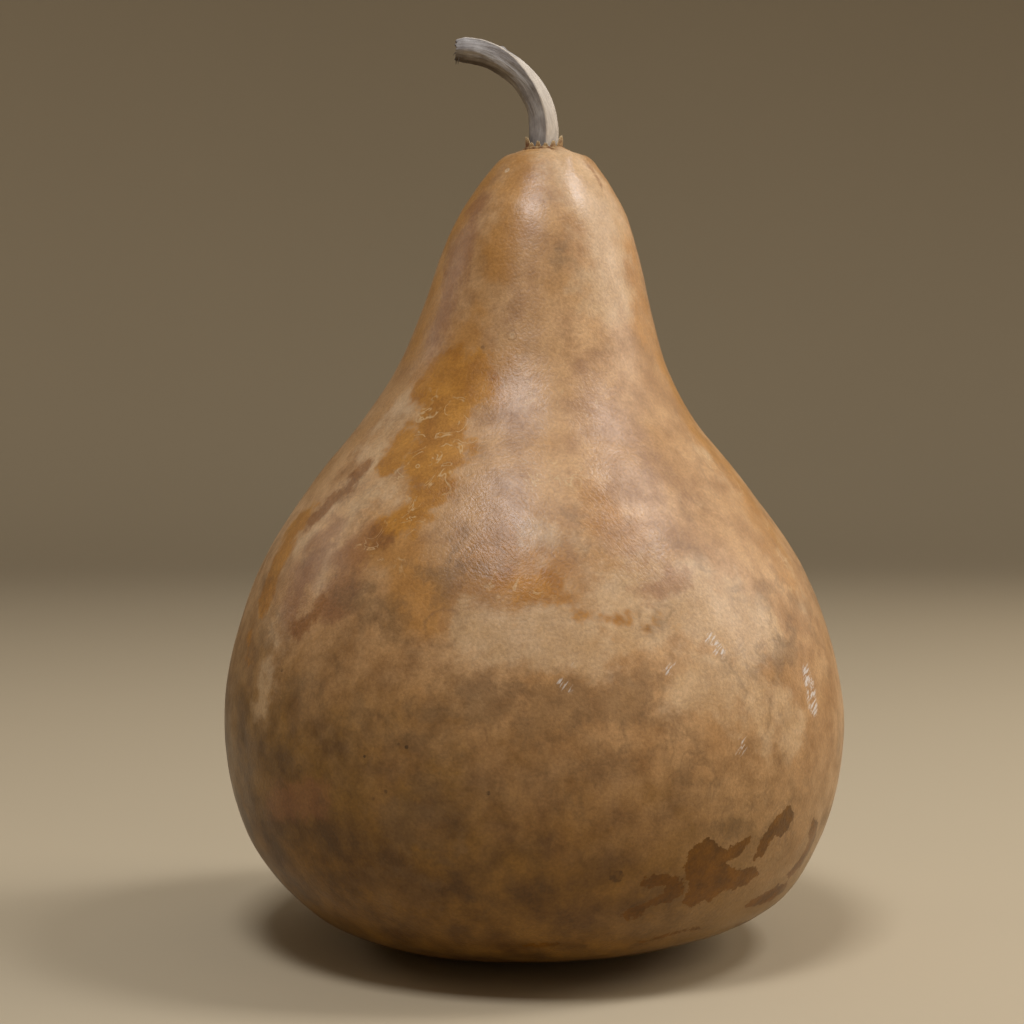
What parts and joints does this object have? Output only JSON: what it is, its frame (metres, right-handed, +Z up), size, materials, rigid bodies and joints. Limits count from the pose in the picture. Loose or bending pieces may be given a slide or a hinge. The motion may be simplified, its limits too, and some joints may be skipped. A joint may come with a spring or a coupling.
{
  "type": "dried gourd",
  "caption": "Pear-shaped dried gourd with a bent, ridged stem and a ragged stem collar, standing on a small flat spot under its belly.",
  "frame": {"origin": "centre of the small flat spot that the gourd stands on", "axes": "+Z up through the neck, +X to the right seen from the front, the stem bending over towards -X"},
  "size_m": [0.1662, 0.1637, 0.2424],
  "materials": {
    "rind": "satin, stained and mottled dry rind",
    "dry_stem": "matte, weathered and fibrous",
    "dry_scales": "matte, papery and ragged"
  },
  "bodies": {
    "root": {"gourd_body": "rind", "stem": "dry_stem", "stem_collar": "dry_scales"}
  },
  "joints": []
}
